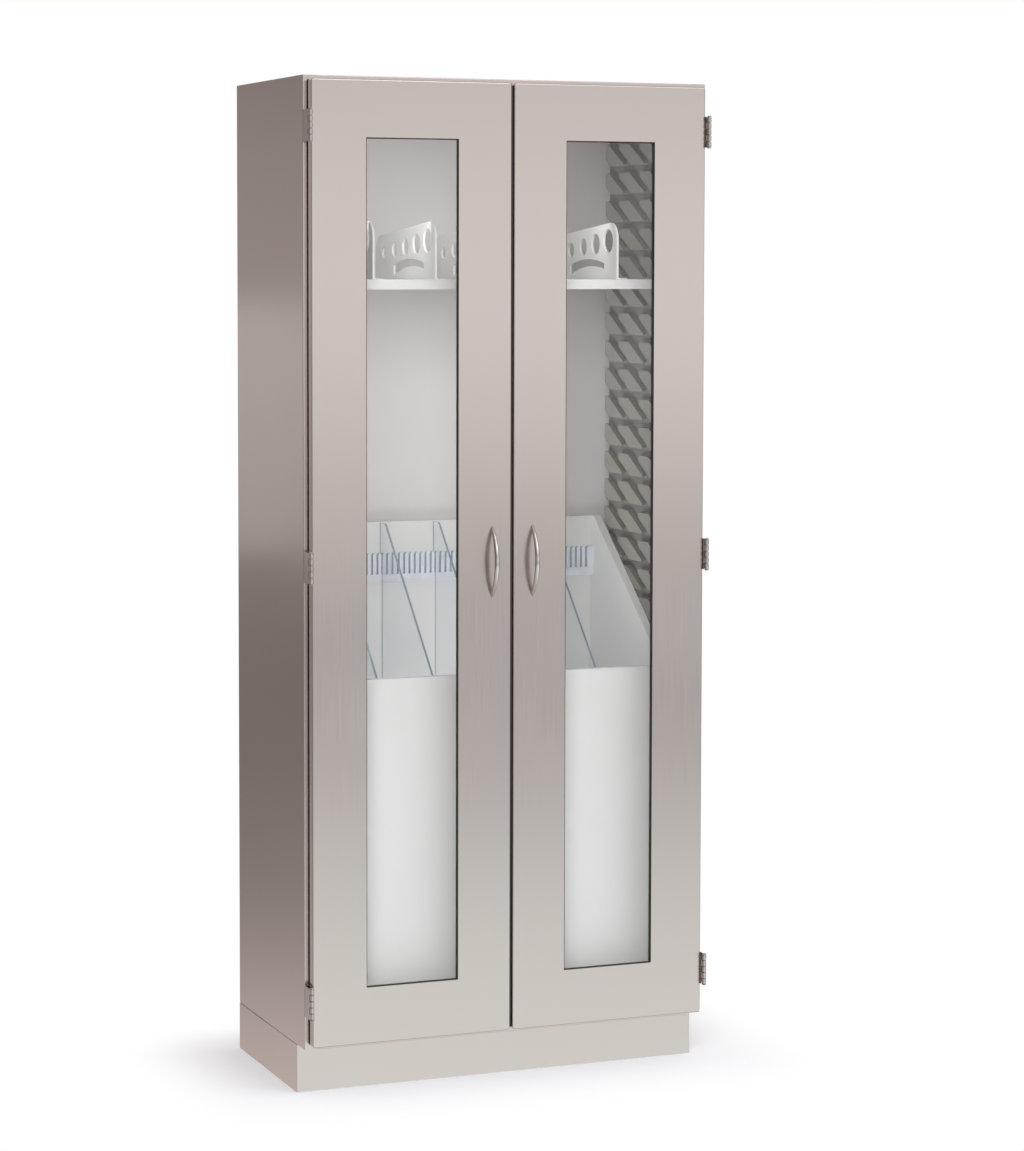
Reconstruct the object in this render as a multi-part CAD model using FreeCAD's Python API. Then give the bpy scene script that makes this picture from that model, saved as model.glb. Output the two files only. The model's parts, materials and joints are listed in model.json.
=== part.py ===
import FreeCAD, Part
import math
import os

from FreeCAD import Vector

# Body, in millimetres. Places are measured from the floor, the middle and the body's front face
body_width = 914.4
body_depth = 457.2
body_height = 2133.6
body_sheet = 1.5
body_bend = 2.0
side_fold = 32.2
side_lip = 12.0
side_seam = 2.0
rear_fold = 22.0
top_fold = 38.1
top_lip = 25.0
floor_rise = 25.4
floor_return = 90.0
liner_depth = 9.0
liner_sheet = 1.0

# Plinth
plinth_height = 101.6
plinth_sheet = 2.0
plinth_flange = 25.0
plinth_bend = 1.2
toe_recess = 50.8

# Doors
door_gap = 6.0
door_thickness = 19.0
door_sheet = 1.2
door_corner = 6.0
door_edge_round = 3.0
door_side_inset = 10.5
door_top_inset = 7.8
door_bottom_inset = 9.1
door_split = 5.8
seal_gap = 1.0
seal_recess = 4.0
seal_depth = 10.0
seal_round = 1.5

# Windows
window_border = 119.5
gasket_lip = 1.0
gasket_hold = 8.0
gasket_backing = 2.0
back_outset = 5.0
glass_recess = 6.0
glass_thickness = 4.0
glass_bite = 5.0
glass_play = 0.3

# Handles
handle_inset = 43.1
handle_spread = 142.0
handle_projection = 34.0
handle_middle_radius = 5.25
handle_end_radius = 3.6
handle_run_past = 1.25
handle_steps = 6
handle_screw_depth = 5.0
handle_screw_shift = 2.5
handle_screw_radius = 1.5
handle_screw_head = 4.0
handle_screw_head_height = 2.2

# Hinges
hinge_end_inset = 96.0
hinge_height = 66.0
hinge_knuckles = 5
knuckle_radius = 4.75
knuckle_gap = 0.7
knuckle_clearance = 0.6
hinge_pin_radius = 2.5
hinge_pin_play = 0.05
hinge_tip = 2.2
hinge_tip_round_share = 0.9
hinge_forward = 9.0
leaf_sheet = 1.5
leaf_width = 27.0
leaf_screw_spacing = 22.0
leaf_screw_count = 3
leaf_screw_head = 3.4
leaf_screw_radius = 1.7
leaf_screw_length = 9.0
screw_play = 0.1

# Catches and bumpers
catch_from_middle = 62.0
catch_width = 46.0
catch_height = 15.0
catch_depth = 20.0
strike_width = 40.0
strike_height = 12.0
strike_sheet = 1.5
closed_gap = 0.3
bumper_radius = 4.5
bumper_inset = 40.0

# Lug panels
panel_plate = 3.0
panel_front_gap = 1.0
panel_rear_gap = 13.0
panel_seam = 0.3
panel_top_gap = 0.5
lug_proud = 10.5
lug_wall = 2.5
lug_height = 47.4
lug_length = 78.0
lug_run = 87.0
lug_pitch = 111.0
lug_overhang = 61.4
lug_nose = 8.0
lug_corner = 3.0
row_pitch = 63.5
first_row_rise = 110.9
last_row_margin = 25.0
rows_in_lower_panel = 19
rows_above_shelf = 6
rail_width = 14.0
rail_screw_rows = 3
panel_screw_head = 3.4
panel_screw_head_height = 1.8
panel_screw_crown_share = 0.6
panel_screw_radius = 1.6
panel_screw_reach = 5.0

# Shelf and its dividers
shelf_front_inset = 45.0
shelf_rear_gap = 33.0
shelf_sheet = 1.5
shelf_play = 1.0
shelf_lip_drop = 6.0
shelf_side_play = 1.0
divider_count = 5
divider_pitch = 139.7
divider_row_shift = -7.3
divider_sheet = 5.0
divider_rear_margin = 3.0
divider_front_height = 125.5
divider_rear_height = 92.0
divider_front_round = 35.0
divider_rear_round = 18.0
foot_width = 24.0
foot_sheet = 2.0
hole_diameters = (50.8, 44.5, 38.1, 31.8, 25.4)
hole_end_margin = 46.5
hole_drop = 39.0
slot_front_margin = 67.0
slot_length = 188.0
slot_front_low = 21.0
slot_front_high = 34.0
slot_middle_low = 27.0
slot_middle_high = 43.0
slot_rear_low = 7.0
slot_rear_high = 29.0

# Tub, its combs and clear dividers
tub_side_gap = 15.5
tub_front_inset = 46.0
tub_rear_gap = 1.0
tub_wall = 19.0
tub_rear_wall = 15.0
tub_floor_board = 19.0
tub_front_height = 743.0
tub_rear_height = 1043.0
tub_flat_top = 28.0
comb_thickness = 12.0
comb_height = 66.0
comb_slot_depth = 47.0
comb_pitch = 12.7
comb_mouth_side = 1.6
comb_mouth_depth = 4.0
comb_end_margin = 6.0
rear_comb_drop = 70.0
front_comb_drop = 8.0
clear_sheet = 4.8
clear_play = 0.3
clear_top_drop = 2.0
clear_front_drop = 5.0
clear_flat_top = 32.0
clear_flat_front = 35.0
slots_per_bay = 10

# How near two coordinates are to count as one place
same_place = 0.01

# Places that follow from the sizes above
half_width = body_width / 2
skin_inside = half_width - body_sheet
wall_face = half_width - side_fold
lug_face = wall_face - lug_proud
floor_top = plinth_height + floor_rise
ceiling = body_height - body_sheet
rear_inside = body_depth - 2 * body_sheet
liner_front = rear_inside - liner_depth
door_back = -door_gap
door_front = door_back - door_thickness
door_outer = half_width - door_side_inset
door_inner = door_split / 2
door_bottom = plinth_height + door_bottom_inset
door_top = body_height - door_top_inset
door_middle = (door_bottom + door_top) / 2
window = (door_inner + window_border, door_outer - window_border,
          door_bottom + window_border, door_top - window_border)
handle_x = door_inner + handle_inset
hinge_x = door_outer + knuckle_radius
hinge_y = door_front - hinge_forward
hinge_heights = (door_bottom + hinge_end_inset, door_middle, door_top - hinge_end_inset)
panel_front = side_lip + panel_front_gap
panel_rear = liner_front - panel_rear_gap
front_rail = panel_front + rail_width / 2
rear_rail = panel_rear - rail_width / 2
first_row = floor_top + first_row_rise
row_count = int((ceiling - last_row_margin - first_row) / row_pitch) + 1
groove = row_pitch - lug_height
panel_split = first_row + (rows_in_lower_panel - 1) * row_pitch + groove / 2
shelf_bottom = first_row + (row_count - 1 - rows_above_shelf) * row_pitch
shelf_top = shelf_bottom + groove - shelf_play
shelf_rear = liner_front - shelf_rear_gap
divider_depth = shelf_rear - divider_rear_margin - shelf_front_inset
tub_half = lug_face - tub_side_gap
tub_inside = tub_half - tub_wall
tub_rear = liner_front - tub_rear_gap
tub_rear_face = tub_rear - tub_rear_wall
tub_front_face = tub_front_inset + tub_wall
tub_front_top = floor_top + tub_front_height
tub_rear_top = floor_top + tub_rear_height
tub_bottom = floor_top + tub_floor_board
rear_comb_top = tub_rear_top - rear_comb_drop
front_comb_top = tub_front_top - front_comb_drop
front_reach = -door_front + handle_projection
to_origin = Vector(0, (front_reach - body_depth) / 2, 0)


def block(x0, x1, y0, y1, z0, z1):
    return Part.makeBox(x1 - x0, y1 - y0, z1 - z0, Vector(x0, y0, z0))


def rod(radius, start, end):
    along = end - start
    return Part.makeCylinder(radius, along.Length, start, along)


def joined(shapes):
    return shapes[0].multiFuse(shapes[1:]).removeSplitter()


def mirrored(shape):
    return shape.mirror(Vector(0, 0, 0), Vector(1, 0, 0))


def both_sides(shapes):
    return Part.makeCompound(shapes + [mirrored(shape) for shape in shapes])


def upright_edges(shape, x, y):
    return [edge for edge in shape.Edges
            if all(abs(v.Point.x - x) < same_place and abs(v.Point.y - y) < same_place for v in edge.Vertexes)]


def long_edges(shape, y, z):
    return [edge for edge in shape.Edges
            if all(abs(v.Point.y - y) < same_place and abs(v.Point.z - z) < same_place for v in edge.Vertexes)]


def side_plate(corners, x0, x1):
    # A plate between two X planes, from (y, z, corner radius) points
    points = [Vector(x0, y, z) for y, z, radius in corners]
    arcs = []
    for i, (y, z, radius) in enumerate(corners):
        to_last = (points[i - 1] - points[i]).normalize()
        to_next = (points[(i + 1) % len(points)] - points[i]).normalize()
        half_angle = to_last.getAngle(to_next) / 2
        reach = radius / math.tan(half_angle)
        inward = (to_last + to_next).normalize()
        middle = points[i] + inward * (radius / math.sin(half_angle) - radius)
        arcs.append((points[i] + to_last * reach, middle, points[i] + to_next * reach))
    edges = []
    for i, (start, middle, end) in enumerate(arcs):
        if corners[i][2]:
            edges.append(Part.Arc(start, middle, end).toShape())
        edges.append(Part.makeLine(end, arcs[(i + 1) % len(arcs)][0]))
    return Part.Face(Part.Wire(edges)).extrude(Vector(x1 - x0, 0, 0))


def plinth():
    outer = half_width
    inner = half_width - plinth_sheet
    back = body_depth

    def channel(web, flange_low, flange_high):
        return joined([web, flange_low, flange_high])

    sheet = plinth_sheet
    top = plinth_height
    side = channel(
        block(inner, outer, toe_recess, back, 0, top),
        block(outer - plinth_flange, outer, toe_recess, back, 0, sheet),
        block(outer - plinth_flange, outer, toe_recess, back, top - sheet, top))
    side = side.makeFillet(plinth_bend, upright_edges(side, outer, toe_recess))
    between = outer - plinth_flange
    front = channel(
        block(-inner, inner, toe_recess, toe_recess + sheet, sheet, top - sheet),
        block(-between, between, toe_recess, toe_recess + plinth_flange, 0, sheet),
        block(-between, between, toe_recess, toe_recess + plinth_flange, top - sheet, top))
    front = front.cut(both_sides([side]))
    rear = channel(
        block(-inner, inner, back - sheet, back, sheet, top - sheet),
        block(-between, between, back - plinth_flange, back, 0, sheet),
        block(-between, between, back - plinth_flange, back, top - sheet, top))
    return {"plinth_front": front, "plinth_back": rear,
            "plinth_right": side, "plinth_left": mirrored(side)}


def rail(middle):
    # A hat section welded inside the skin, which carries the lug panels
    web = wall_face + panel_plate
    low = middle - rail_width / 2
    high = middle + rail_width / 2
    return joined([
        block(web, web + body_sheet, low, high, floor_top, ceiling),
        block(web, skin_inside, low, low + body_sheet, floor_top, ceiling),
        block(web, skin_inside, high - body_sheet, high, floor_top, ceiling)])


def side_panel(leaf_screws, panel_screws):
    bottom = plinth_height + side_seam
    top = body_height
    back = body_depth
    sheet = body_sheet
    shell = joined([
        block(skin_inside, half_width, 0, back, bottom, top),
        block(wall_face, half_width, 0, sheet, bottom, top),
        block(wall_face, wall_face + sheet, 0, side_lip, floor_top, ceiling),
        block(half_width - rear_fold, half_width, back - sheet, back, bottom, top),
        rail(front_rail),
        rail(rear_rail)])
    outer_bends = upright_edges(shell, half_width, 0) + upright_edges(shell, half_width, back)
    shell = shell.makeFillet(body_bend, outer_bends)
    return shell.cut(leaf_screws + panel_screws)


def top_panel():
    sheet = body_sheet
    top = body_height
    back = body_depth
    rear_width = half_width - rear_fold
    shell = joined([
        block(-skin_inside, skin_inside, sheet, back - sheet, ceiling, top),
        block(-wall_face, wall_face, 0, sheet, top - top_fold, top),
        block(-wall_face, wall_face, 0, top_lip, top - top_fold, top - top_fold + sheet),
        block(-rear_width, rear_width, back - sheet, back, top - rear_fold, top)])
    bends = long_edges(shell, 0, top) + long_edges(shell, 0, top - top_fold)
    return shell.makeFillet(sheet, bends)


def floor_panel():
    sheet = body_sheet
    bottom = plinth_height
    shell = joined([
        block(-skin_inside, skin_inside, sheet, rear_inside, floor_top - sheet, floor_top),
        block(-wall_face, wall_face, 0, sheet, bottom, floor_top),
        block(-wall_face, wall_face, 0, floor_return, bottom, bottom + sheet),
        block(-skin_inside, skin_inside, rear_inside - sheet, rear_inside, bottom, floor_top)])
    bends = long_edges(shell, 0, floor_top) + long_edges(shell, 0, bottom)
    return shell.makeFillet(sheet, bends)


def back_panel():
    return block(-skin_inside, skin_inside, rear_inside, rear_inside + body_sheet, plinth_height, ceiling)


def back_liner():
    pan = block(-skin_inside, skin_inside, liner_front, rear_inside, floor_top, ceiling)
    inner = skin_inside - liner_sheet
    hollow = block(-inner, inner, liner_front + liner_sheet, rear_inside,
                   floor_top + liner_sheet, ceiling - liner_sheet)
    return pan.cut(hollow)


def lug(row_top, top_rear, inset, x0, x1):
    # A slanted block whose sides drop towards the front, drawn in by inset all round
    slope = lug_run / lug_height
    draw_in = inset * math.hypot(lug_run, lug_height) / lug_height
    high = row_top - inset
    low = row_top - lug_height + inset
    rear_high = top_rear - inset * slope - draw_in
    rear_low = rear_high - (high - low) * slope
    length = lug_length - 2 * draw_in
    nose = max(lug_nose - inset, lug_corner)
    return side_plate([(rear_high, high, nose), (rear_high - length, high, lug_corner),
                       (rear_low - length, low, lug_corner), (rear_low, low, lug_corner)], x0, x1)


def lug_panel(bottom, top, rows, screw_holes):
    plate_back = wall_face + panel_plate
    lug_count = int((panel_rear + lug_overhang - panel_front) / lug_pitch)
    bodies = []
    cores = []
    for row in rows:
        row_top = first_row + row * row_pitch
        for i in range(lug_count):
            top_rear = panel_rear + lug_overhang - i * lug_pitch
            bodies.append(lug(row_top, top_rear, 0, lug_face, plate_back))
            cores.append(lug(row_top, top_rear, lug_wall, lug_face + lug_wall, plate_back))
    keep = block(lug_face, plate_back, panel_front, panel_rear, bottom, top)
    keep_core = block(lug_face, plate_back, panel_front + lug_wall, panel_rear - lug_wall, bottom, top)
    plate = block(wall_face, plate_back, panel_front, panel_rear, bottom, top)
    panel = plate.multiFuse([body.common(keep) for body in bodies])
    panel = panel.cut([core.common(keep_core) for core in cores])
    return panel.cut(screw_holes).removeSplitter()


def panel_screw_places(rows):
    # Grooves that hold a screw at each rail: the one under the top row, then every few rows down
    grooves = [first_row + row * row_pitch + groove / 2 for row in rows[-2::-rail_screw_rows]]
    return [(y, z) for z in grooves for y in (front_rail, rear_rail)]


def panel_screw(y, z):
    end = wall_face + panel_plate + body_sheet + panel_screw_reach
    face = wall_face - panel_screw_head_height
    head = rod(panel_screw_head, Vector(face, y, z), Vector(wall_face, y, z))
    rim = [edge for edge in head.Edges if all(abs(v.X - face) < same_place for v in edge.Vertexes)]
    head = head.makeFillet(panel_screw_head_height * panel_screw_crown_share, rim)
    return head.fuse(rod(panel_screw_radius, Vector(wall_face, y, z), Vector(end, y, z))).removeSplitter()


def panel_screw_hole(y, z):
    end = wall_face + panel_plate + body_sheet
    return rod(panel_screw_radius + screw_play, Vector(wall_face, y, z), Vector(end, y, z))


def shelf():
    half = wall_face - shelf_side_play
    pan = block(-half, half, shelf_front_inset, shelf_rear, shelf_bottom, shelf_top)
    pan = pan.makeFillet(shelf_sheet, long_edges(pan, shelf_front_inset, shelf_top))
    hollow = block(-half + shelf_sheet, half - shelf_sheet, shelf_front_inset + shelf_sheet,
                   shelf_rear - shelf_sheet, shelf_bottom, shelf_top - shelf_sheet)
    lip_half = lug_face - shelf_side_play
    lip = block(-lip_half, lip_half, shelf_front_inset, shelf_front_inset + shelf_sheet,
                shelf_bottom - shelf_lip_drop, shelf_bottom + shelf_sheet)
    return joined([pan.cut(hollow), lip])


def shelf_divider(x):
    # An upright plate on a foot; the plate's top falls to the rear
    front = shelf_front_inset
    rear = front + divider_depth
    low = shelf_top
    fall = (divider_front_height - divider_rear_height) / divider_depth
    high_front = low + divider_front_height
    high_rear = low + divider_rear_height
    x0 = x - divider_sheet / 2
    x1 = x + divider_sheet / 2
    plate = side_plate([(front, low, 0), (rear, low, 0), (rear, high_rear, divider_rear_round),
                        (front, high_front, divider_front_round)], x0, x1)
    holes = []
    step = (divider_depth - 2 * hole_end_margin) / (len(hole_diameters) - 1)
    for i, diameter in enumerate(hole_diameters):
        along = hole_end_margin + i * step
        middle = Vector(x0, front + along, high_front - fall * along - hole_drop)
        holes.append(rod(diameter / 2, middle, middle + Vector(divider_sheet, 0, 0)))
    foot = block(x0, x0 + foot_width, front, rear, low, low + foot_sheet)
    return joined([plate.cut(holes + [hand_slot(x0, front, low)]), foot])


def hand_slot(x0, front, low):
    # An arched slot between two three-point arcs
    start = front + slot_front_margin
    middle = start + slot_length / 2
    end = start + slot_length
    points = [Vector(x0, y, low + rise) for y, rise in
              ((start, slot_front_high), (middle, slot_middle_high), (end, slot_rear_high),
               (end, slot_rear_low), (middle, slot_middle_low), (start, slot_front_low))]
    edges = [Part.Arc(*points[:3]).toShape(), Part.makeLine(points[2], points[3]),
             Part.Arc(*points[3:]).toShape(), Part.makeLine(points[5], points[0])]
    return Part.Face(Part.Wire(edges)).extrude(Vector(divider_sheet, 0, 0))


def tub():
    slope_start = tub_rear - tub_flat_top
    side = side_plate([(tub_front_inset, floor_top, 0), (tub_rear, floor_top, 0),
                       (tub_rear, tub_rear_top, 0), (slope_start, tub_rear_top, 0),
                       (tub_front_inset, tub_front_top, 0)], tub_inside, tub_half)
    inside = (-tub_inside, tub_inside)
    return {
        "tub_front_wall": block(*inside, tub_front_inset, tub_front_face, floor_top, tub_front_top),
        "tub_back_wall": block(*inside, tub_rear_face, tub_rear, floor_top, tub_rear_top),
        "tub_right_wall": side,
        "tub_left_wall": mirrored(side),
        "tub_floor": block(*inside, tub_front_face, tub_rear_face, floor_top, tub_bottom)}


def comb(y0, top):
    # A strip with a row of slots, open at the top, each with a slanted mouth
    slot = clear_sheet + 2 * clear_play
    low = top - comb_slot_depth
    mouth = top - comb_mouth_depth
    half_count = int((tub_inside - comb_end_margin) / comb_pitch)
    points = [(-tub_inside, top - comb_height), (-tub_inside, top)]
    for i in range(-half_count, half_count):
        middle = (i + 0.5) * comb_pitch
        left = middle - slot / 2
        right = middle + slot / 2
        points += [(left - comb_mouth_side, top), (left, mouth), (left, low),
                   (right, low), (right, mouth), (right + comb_mouth_side, top)]
    points += [(tub_inside, top), (tub_inside, top - comb_height)]
    corners = [Vector(x, y0, z) for x, z in points]
    outline = Part.makePolygon(corners + corners[:1])
    return Part.Face(outline).extrude(Vector(0, comb_thickness, 0))


def clear_divider(index):
    # A clear plate, hooked at its upper rear and upper front corners into the combs
    x = (slots_per_bay * (index - divider_count // 2) - 0.5) * comb_pitch
    bottom = tub_bottom + clear_play
    rear = tub_rear_face - clear_play
    front = tub_front_face + clear_play
    rear_step = tub_rear_face - comb_thickness - clear_play
    front_step = tub_front_face + comb_thickness + clear_play
    rear_hook = rear_comb_top - comb_slot_depth + clear_play
    front_hook = front_comb_top - comb_slot_depth + clear_play
    top = tub_rear_top - clear_top_drop
    front_top = tub_front_top - clear_front_drop
    corners = [(rear_step, bottom), (rear_step, rear_hook), (rear, rear_hook), (rear, top),
               (rear - clear_flat_top, top), (front + clear_flat_front, front_top),
               (front, front_top), (front, front_hook), (front_step, front_hook), (front_step, bottom)]
    return side_plate([(y, z, 0) for y, z in corners], x - clear_sheet / 2, x + clear_sheet / 2)


def door_block(inset, y0, y1):
    # The door's outline drawn in by inset, with round corners
    shape = block(door_inner + inset, door_outer - inset, y0, y1, door_bottom + inset, door_top - inset)
    corners = [edge for edge in shape.Edges if abs(edge.Vertexes[0].Y - edge.Vertexes[1].Y) > same_place]
    return shape.makeFillet(door_corner - inset, corners)


def round_front(shape, y, radius):
    rim = [edge for edge in shape.Edges if all(abs(v.Y - y) < same_place for v in edge.Vertexes)]
    return shape.makeFillet(radius, rim)


def window_block(outset, y0, y1):
    left, right, low, high = window
    return block(left - outset, right + outset, y0, y1, low - outset, high + outset)


def door_front_pan(handle_holes):
    hollow_front = door_front + door_sheet
    outer = round_front(door_block(0, door_front, door_back), door_front, door_edge_round)
    hollow = round_front(door_block(door_sheet, hollow_front, door_back), hollow_front,
                         door_edge_round - door_sheet)
    return outer.cut([hollow, window_block(0, door_front, hollow_front)] + handle_holes)


def door_back_pan(holes):
    plate = door_block(door_sheet, door_back - door_sheet, door_back)
    return plate.cut([window_block(back_outset, door_back - door_sheet, door_back)] + holes)


def window_gasket():
    skin = door_front + door_sheet
    rear = door_back - door_sheet
    glass_front = door_front + glass_recess
    frame = joined([window_block(0, door_front, skin), window_block(gasket_hold, skin, rear)])
    glass_back = glass_front + glass_thickness
    frame = frame.cut(window_block(-gasket_lip, door_front, rear))
    frame = frame.cut(window_block(back_outset, glass_back + gasket_backing, rear))
    return frame.cut(window_block(glass_bite + glass_play, glass_front, glass_back))


def meeting_gasket():
    # A rubber strip on the left door's free edge, just short of the right door
    free = door_inner - seal_gap
    front = door_front + seal_recess
    rear = front + seal_depth
    strip = block(-door_inner, free, front, rear, door_bottom + door_corner, door_top - door_corner)
    edges = upright_edges(strip, free, front) + upright_edges(strip, free, rear)
    return strip.makeFillet(seal_round, edges)


def window_glass():
    glass_front = door_front + glass_recess
    return window_block(glass_bite, glass_front, glass_front + glass_thickness)


def handle():
    # A bow of round section, thickest in the middle, cut flat where it meets the door
    rise = handle_projection - handle_middle_radius
    half = handle_spread / 2
    bow_radius = (half ** 2 + rise ** 2) / (2 * rise)
    sweep = math.asin(half / bow_radius)
    rings = []
    for i in range(-handle_steps, handle_steps + 1):
        share = handle_run_past * i / handle_steps
        angle = share * sweep
        radius = handle_middle_radius + (handle_end_radius - handle_middle_radius) * share ** 2
        middle = Vector(handle_x, door_front - rise + bow_radius * (1 - math.cos(angle)),
                        door_middle + bow_radius * math.sin(angle))
        ring = Part.Circle(middle, Vector(0, math.sin(angle), math.cos(angle)), radius)
        rings.append(Part.Wire(ring.toShape()))
    bow = Part.makeLoft(rings, True)
    behind = block(handle_x - half, handle_x + half, door_front, door_front + handle_spread,
                   door_middle - handle_spread, door_middle + handle_spread)
    bores = [handle_rod(z, handle_screw_radius + screw_play, door_front - handle_screw_depth, door_front)
             for z in handle_screw_heights()]
    return bow.cut([behind] + bores)


def handle_screw_heights():
    offset = handle_spread / 2 - handle_screw_shift
    return (door_middle - offset, door_middle + offset)


def handle_rod(z, radius, y0, y1):
    return rod(radius, Vector(handle_x, y0, z), Vector(handle_x, y1, z))


def handle_screws():
    end = door_front - handle_screw_depth
    return [handle_rod(z, handle_screw_radius, end, door_back).fuse(
        handle_rod(z, handle_screw_head, door_back, door_back + handle_screw_head_height)).removeSplitter()
        for z in handle_screw_heights()]


def handle_screw_holes():
    return [handle_rod(z, handle_screw_radius + screw_play, door_front, door_back)
            for z in handle_screw_heights()]


def hinge_leaf(height, first_knuckle, strip, fold, flange):
    # Alternate knuckles, and a strip that is notched round the other leaf's knuckles
    low = height - hinge_height / 2
    length = hinge_height / hinge_knuckles
    x0, x1 = strip
    y1 = fold
    leaf = [block(x0, x1, hinge_y + knuckle_radius + knuckle_clearance, y1, low, low + hinge_height), flange]
    for i in range(first_knuckle, hinge_knuckles, 2):
        z0 = low + i * length + knuckle_gap / 2
        z1 = low + (i + 1) * length - knuckle_gap / 2
        leaf.append(rod(knuckle_radius, Vector(hinge_x, hinge_y, z0), Vector(hinge_x, hinge_y, z1)))
        leaf.append(block(x0, x1, hinge_y, y1, z0, z1))
    bore = rod(hinge_pin_radius + hinge_pin_play, Vector(hinge_x, hinge_y, low),
               Vector(hinge_x, hinge_y, low + hinge_height))
    return joined(leaf).cut(bore)


def leaf_screw_points(x, y, height):
    middle = (leaf_screw_count - 1) / 2
    return [Vector(x, y, height + (i - middle) * leaf_screw_spacing) for i in range(leaf_screw_count)]


def flat_screw(point, play):
    # A countersunk screw whose head lies flush at the point; it drives along the given sense of Y
    position, sense = point
    along = Vector(0, sense, 0)
    shank_start = position + along * leaf_sheet
    head = Part.makeCone(leaf_screw_head + play, leaf_screw_radius + play, leaf_sheet, position, along)
    shank = rod(leaf_screw_radius + play, shank_start, position + along * leaf_screw_length)
    return head.fuse(shank).removeSplitter()


def hinge(height):
    low = height - hinge_height / 2
    high = low + hinge_height
    outer_strip = (hinge_x + knuckle_radius - leaf_sheet, hinge_x + knuckle_radius)
    inner_strip = (door_outer, door_outer + leaf_sheet)
    cabinet_flange = block(outer_strip[1] - leaf_width, outer_strip[1], -leaf_sheet, 0, low, high)
    door_flange = block(inner_strip[1] - leaf_width, inner_strip[1], door_back, door_back + leaf_sheet, low, high)
    cabinet_leaf = hinge_leaf(height, 0, outer_strip, 0, cabinet_flange)
    door_leaf = hinge_leaf(height, 1, inner_strip, door_back + leaf_sheet, door_flange)
    screw_inset = leaf_width / 2 + leaf_sheet
    cabinet_points = [(p, 1) for p in leaf_screw_points(outer_strip[1] - screw_inset, -leaf_sheet, height)]
    door_points = [(p, -1) for p in leaf_screw_points(inner_strip[1] - screw_inset,
                                                      door_back + leaf_sheet, height)]
    cabinet_holes = [flat_screw(p, screw_play) for p in cabinet_points]
    door_holes = [flat_screw(p, screw_play) for p in door_points]
    return {"cabinet_leaf": cabinet_leaf.cut(cabinet_holes), "door_leaf": door_leaf.cut(door_holes),
            "pin": hinge_pin(low, high),
            "cabinet_screws": [flat_screw(p, 0) for p in cabinet_points],
            "door_screws": [flat_screw(p, 0) for p in door_points],
            "cabinet_holes": cabinet_holes, "door_holes": door_holes}


def hinge_pin(low, high):
    pin = rod(hinge_pin_radius, Vector(hinge_x, hinge_y, low), Vector(hinge_x, hinge_y, high))
    tips = []
    for z, sense in ((low, -1), (high, 1)):
        tip = rod(knuckle_radius, Vector(hinge_x, hinge_y, z), Vector(hinge_x, hinge_y, z + sense * hinge_tip))
        far_rim = [edge for edge in tip.Edges if all(abs(v.Z - z) > hinge_tip / 2 for v in edge.Vertexes)]
        tips.append(tip.makeFillet(hinge_tip * hinge_tip_round_share, far_rim))
    return joined([pin] + tips)


def catch():
    high = body_height - top_fold
    front = door_back + strike_sheet + closed_gap
    half = catch_width / 2
    return block(catch_from_middle - half, catch_from_middle + half, front, front + catch_depth,
                 high - catch_height, high)


def strike():
    middle = body_height - top_fold - catch_height / 2
    return block(catch_from_middle - strike_width / 2, catch_from_middle + strike_width / 2,
                 door_back, door_back + strike_sheet, middle - strike_height / 2, middle + strike_height / 2)


def bumper(x):
    z = (door_bottom + floor_top) / 2
    return rod(bumper_radius, Vector(x, door_back + closed_gap, z), Vector(x, 0, z))


def cabinet_nodes():
    rows = range(row_count)
    lower_rows = rows[:rows_in_lower_panel]
    upper_rows = rows[rows_in_lower_panel:]
    hinges = [hinge(height) for height in hinge_heights]
    leaf_holes = [hole for h in hinges for hole in h["cabinet_holes"]]
    screw_places = panel_screw_places(lower_rows) + panel_screw_places(upper_rows)
    panel_holes = [panel_screw_hole(y, z) for y, z in screw_places]
    side = side_panel(leaf_holes, panel_holes)
    upper = lug_panel(panel_split + panel_seam, ceiling - panel_top_gap, upper_rows, panel_holes)
    lower = lug_panel(floor_top, panel_split, lower_rows, panel_holes)
    nodes = plinth()
    nodes.update(tub())
    nodes.update({
        "right_side_panel": side,
        "left_side_panel": mirrored(side),
        "top_panel": top_panel(),
        "floor_panel": floor_panel(),
        "back_panel": back_panel(),
        "back_liner": back_liner(),
        "right_lug_panel_upper": upper,
        "right_lug_panel_lower": lower,
        "left_lug_panel_upper": mirrored(upper),
        "left_lug_panel_lower": mirrored(lower),
        "lug_panel_screws": both_sides([panel_screw(y, z) for y, z in screw_places]),
        "shelf": shelf(),
        "tub_rear_comb": comb(tub_rear_face - comb_thickness, rear_comb_top),
        "tub_front_comb": comb(tub_front_face, front_comb_top),
        "right_hinge_cabinet_leaves": Part.makeCompound([h["cabinet_leaf"] for h in hinges]),
        "right_hinge_pins": Part.makeCompound([h["pin"] for h in hinges]),
        "hinge_cabinet_screws": both_sides([s for h in hinges for s in h["cabinet_screws"]]),
        "magnetic_catches": both_sides([catch()]),
        "door_bumpers": both_sides([bumper(door_inner + bumper_inset), bumper(wall_face - bumper_inset)])})
    for part in ("hinge_cabinet_leaves", "hinge_pins"):
        nodes["left_" + part] = mirrored(nodes["right_" + part])
    for i in range(divider_count):
        x = divider_row_shift + (i - divider_count // 2) * divider_pitch
        nodes["shelf_divider_%d" % (i + 1)] = shelf_divider(x)
        nodes["tub_divider_%d" % (i + 1)] = clear_divider(i)
    return nodes


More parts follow.
